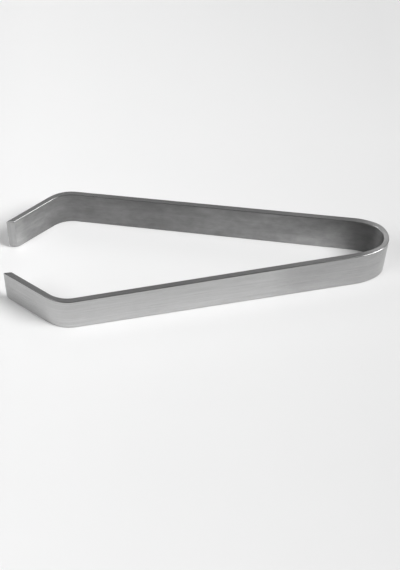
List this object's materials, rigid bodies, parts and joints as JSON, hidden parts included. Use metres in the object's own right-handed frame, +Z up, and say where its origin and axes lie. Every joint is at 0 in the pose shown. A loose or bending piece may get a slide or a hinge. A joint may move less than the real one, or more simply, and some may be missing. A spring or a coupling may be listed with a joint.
{
  "type": "fish bone tweezers",
  "caption": "One bent steel strip with a sprung bow, two straight diverging arms and two jaws turned in to flat gripping tips.",
  "frame": {"origin": "bottom centre of the whole object, lying on the strip's lower long edge with the jaws open", "axes": "+X towards the bow, -X towards the jaws, +Y the rear arm's side, +Z up across the strip's width"},
  "size_m": [0.1288, 0.0482, 0.015],
  "materials": {
    "steel": "satin, brushed along the strip, with polished long edges"
  },
  "bodies": {
    "bow": {"spring_bow": "steel"},
    "rear_half": {"rear_arm": "steel", "rear_jaw": "steel"},
    "front_half": {"front_arm": "steel", "front_jaw": "steel"}
  },
  "joints": [
    {"name": "rear_arm_squeeze", "type": "hinge", "parent": "bow", "child": "rear_half", "pos_m": [0.04381, 0.00924, 0.007], "axis": [0, 0, 1], "range_deg": [0, 5.7], "stiffness_Nm_per_rad": 26},
    {"name": "front_arm_squeeze", "type": "hinge", "parent": "bow", "child": "front_half", "pos_m": [0.04381, -0.00924, 0.007], "axis": [0, 0, -1], "range_deg": [0, 5.7], "stiffness_Nm_per_rad": 26}
  ],
  "couplings": [
    {"joint": "front_arm_squeeze", "follows": "rear_arm_squeeze", "ratio": 1}
  ]
}
